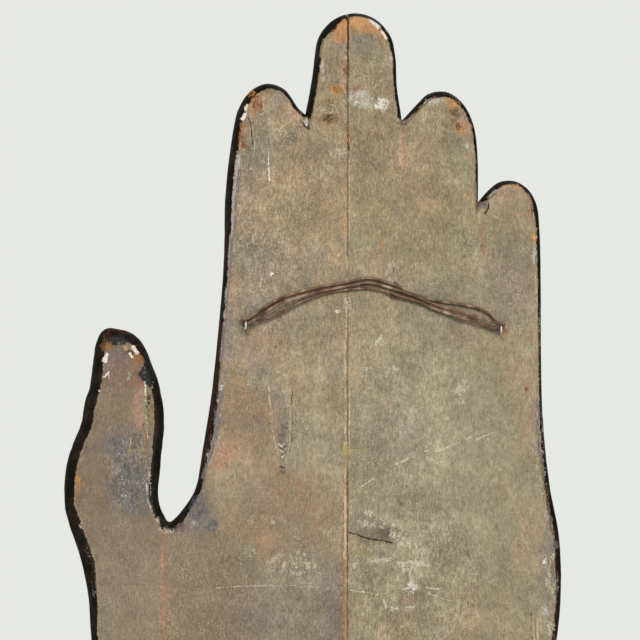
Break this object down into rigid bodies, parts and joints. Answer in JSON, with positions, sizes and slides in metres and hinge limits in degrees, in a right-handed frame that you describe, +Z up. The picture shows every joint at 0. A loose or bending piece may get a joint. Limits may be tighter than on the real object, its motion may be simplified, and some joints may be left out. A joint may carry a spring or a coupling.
{
  "type": "hand-shaped trade sign",
  "caption": "Hand-shaped wooden trade sign of edge-joined boards with rounded edges, fingers up and thumb out, hung by a wire wound between screw eyes on its back",
  "frame": {"origin": "middle of the sawn bottom edge, at the mount bottom_edge", "axes": "+Z up along the fingers, +Y out of the back that carries the wire, +X to the thumb side"},
  "size_m": [0.4008, 0.0373, 0.6458],
  "materials": {
    "weathered_board": "weathered, matt",
    "birch_dowel": "bare, matt",
    "dull_zinc_wire": "dull, lightly rusted",
    "rusty_wire": "rusted"
  },
  "bodies": {
    "sign": {"thumb_side_board": "weathered_board", "little_finger_side_board": "weathered_board", "edge_dowel_1": "birch_dowel", "edge_dowel_2": "birch_dowel", "edge_dowel_3": "birch_dowel", "edge_dowel_4": "birch_dowel", "thumb_side_screw_eye": "dull_zinc_wire", "little_finger_side_screw_eye": "dull_zinc_wire"},
    "wire": {"hanging_wire": "rusty_wire"}
  },
  "joints": [
    {"name": "wire_swing", "type": "hinge", "parent": "sign", "child": "wire", "pos_m": [0.0674, 0.0195, 0.3956], "axis": [-0.9998, 0, -0.0175], "range_deg": [0, 190]}
  ]
}
